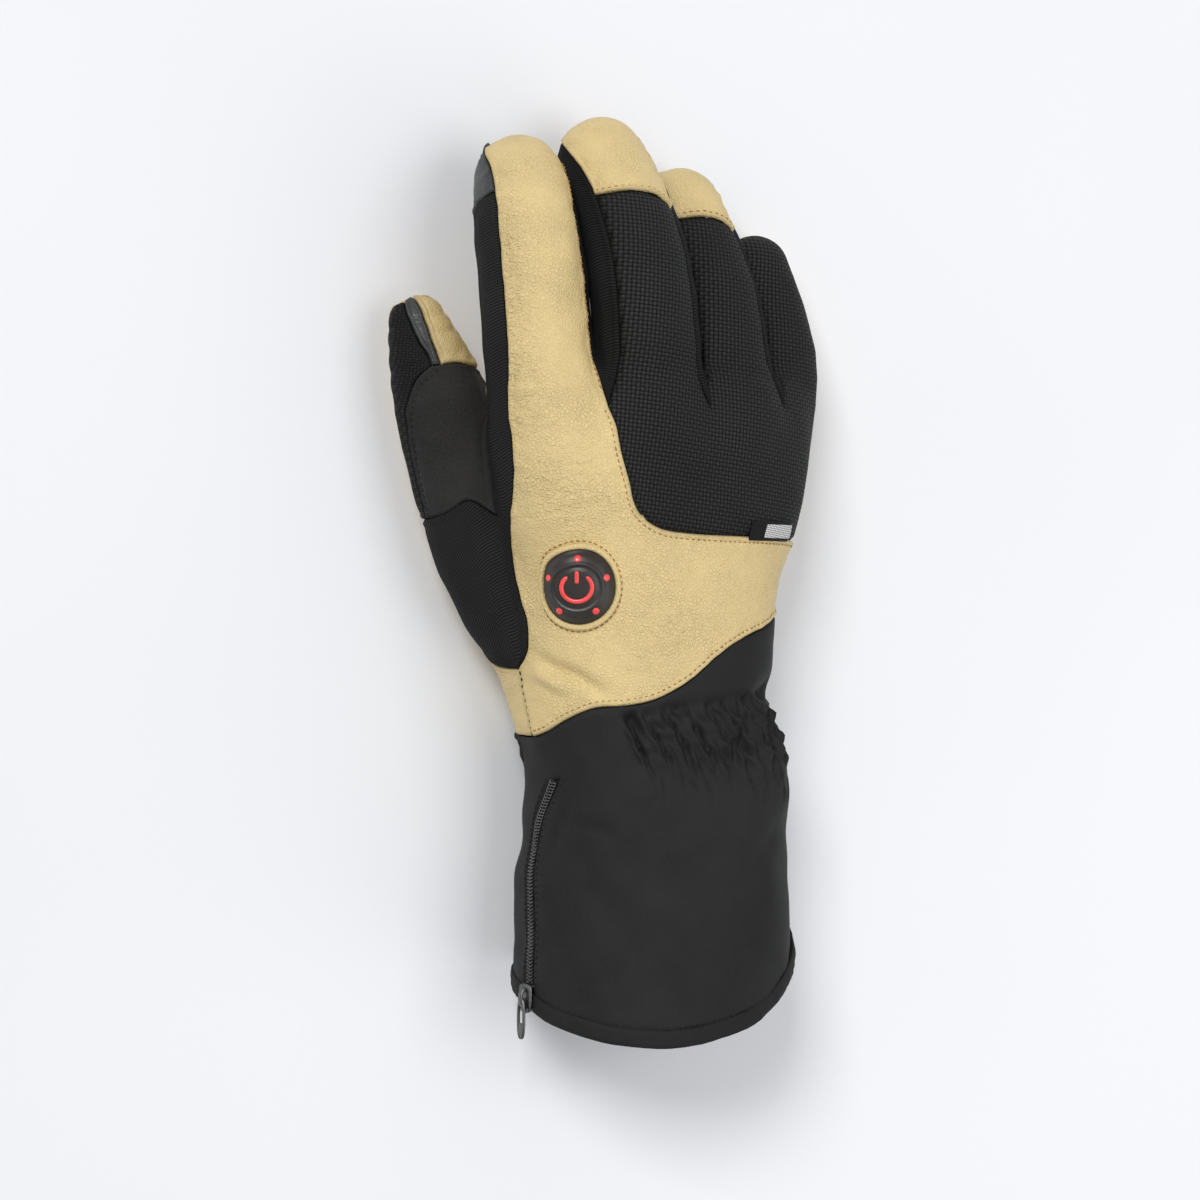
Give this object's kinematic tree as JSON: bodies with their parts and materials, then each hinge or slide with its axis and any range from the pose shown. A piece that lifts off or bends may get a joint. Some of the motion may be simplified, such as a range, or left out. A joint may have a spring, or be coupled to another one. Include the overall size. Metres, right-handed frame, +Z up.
{
  "type": "heated glove",
  "caption": "Heated gauntlet glove for a right hand: tan leather and black woven back, ribbed knit between the fingers, a zipped cuff and a round control button.",
  "frame": {"origin": "on the floor under the middle of the glove's bounding box", "axes": "+Z up out of the back of the hand, +Y from the cuff to the fingertips, +X toward the little finger; the palm is down"},
  "size_m": [0.1518, 0.3104, 0.0697],
  "materials": {
    "tan_leather": "soft pebbled goat leather",
    "glossy_leather": "smooth dark grey leather",
    "woven_cloth": "black cloth woven in a fine grid",
    "rib_knit": "black ribbed knit",
    "suede": "black brushed suede",
    "softshell": "matt black softshell",
    "hem_band": "dark grey coated band",
    "black_rubber": "satin",
    "red_lens": "satin red",
    "zip_metal": "dark plated metal",
    "zip_cloth": "black tape",
    "zip_teeth": "black coil",
    "pale_label": "pale woven band, bare"
  },
  "bodies": {
    "root": {"middle_cap": "tan_leather", "ring_cap": "tan_leather", "back_fabric": "woven_cloth", "back_leather": "tan_leather", "index_gusset": "rib_knit", "index_touch_tip": "glossy_leather", "fourchette_index_middle": "rib_knit", "fourchette_middle_ring": "rib_knit", "fourchette_ring_little": "rib_knit", "thumb_knit": "rib_knit", "thumb_suede": "suede", "thumb_touch_band": "glossy_leather", "thumb_tip_leather": "tan_leather", "thumb_palm": "tan_leather", "palm_leather": "tan_leather", "cuff": "softshell", "zip_tape": "zip_cloth", "zip_coil": "zip_teeth", "zip_slider": "zip_metal", "zip_pull": "zip_metal", "hem_binding": "hem_band", "button_collar": "tan_leather", "button_dome": "black_rubber", "button_mark_1": "red_lens", "button_mark_2": "red_lens", "button_mark_3": "red_lens", "button_mark_4": "red_lens", "button_mark_5": "red_lens", "power_arc": "red_lens", "power_bar": "red_lens", "side_label": "pale_label"}
  },
  "joints": []
}
